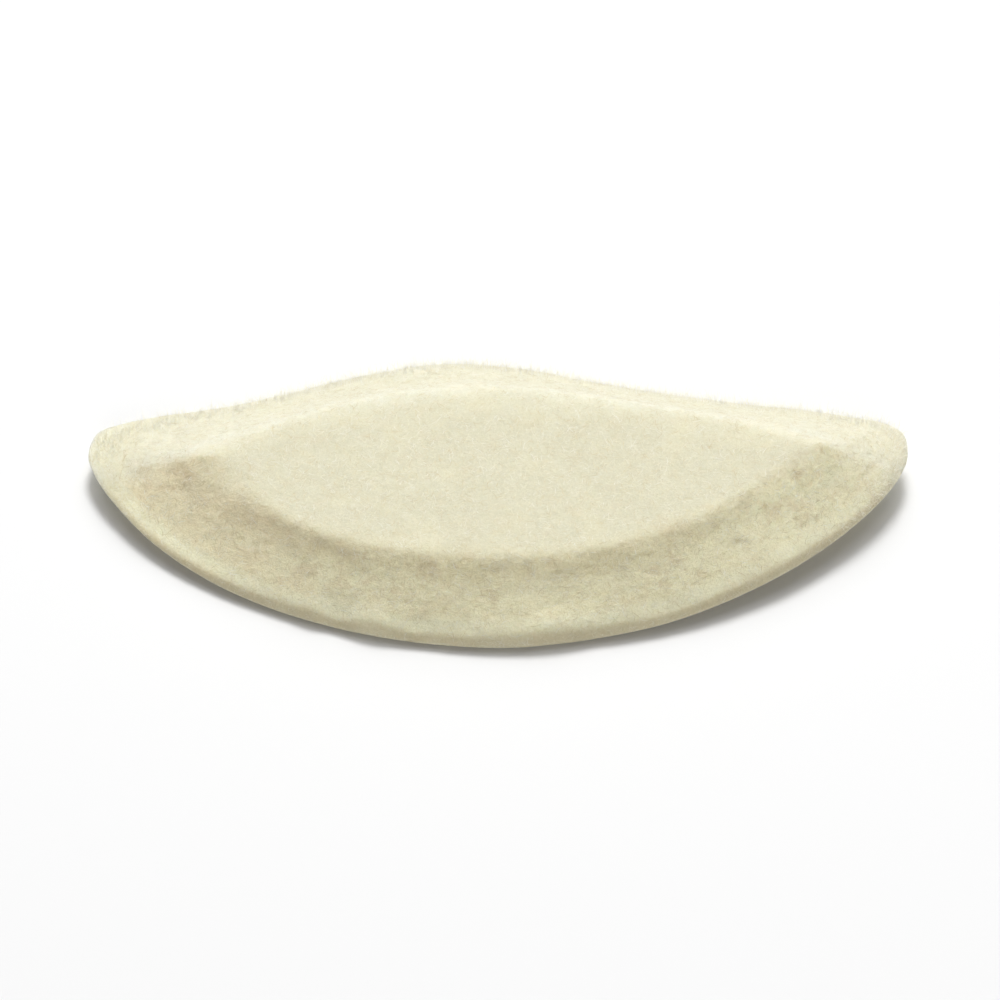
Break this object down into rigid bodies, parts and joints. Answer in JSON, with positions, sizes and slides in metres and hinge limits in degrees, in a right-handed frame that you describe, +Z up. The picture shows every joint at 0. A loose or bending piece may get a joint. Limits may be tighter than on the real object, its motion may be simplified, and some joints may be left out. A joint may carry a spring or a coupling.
{
  "type": "felt arch pad",
  "caption": "Lens-shaped wool felt arch pad with a flat top, a border skived all round to a low edge wall, and both tips curling up.",
  "frame": {"origin": "middle of the pad's box, on the surface it lies on", "axes": "+X along the pad from tip to tip, +Y towards the shallow inner curve, -Y towards the long outer curve, +Z up through the felt"},
  "size_m": [0.0981, 0.0434, 0.0105],
  "materials": {
    "wool_felt": "matt, soft, fibrous undyed cream wool felt"
  },
  "bodies": {
    "root": {"felt_pad": "wool_felt"}
  },
  "joints": []
}
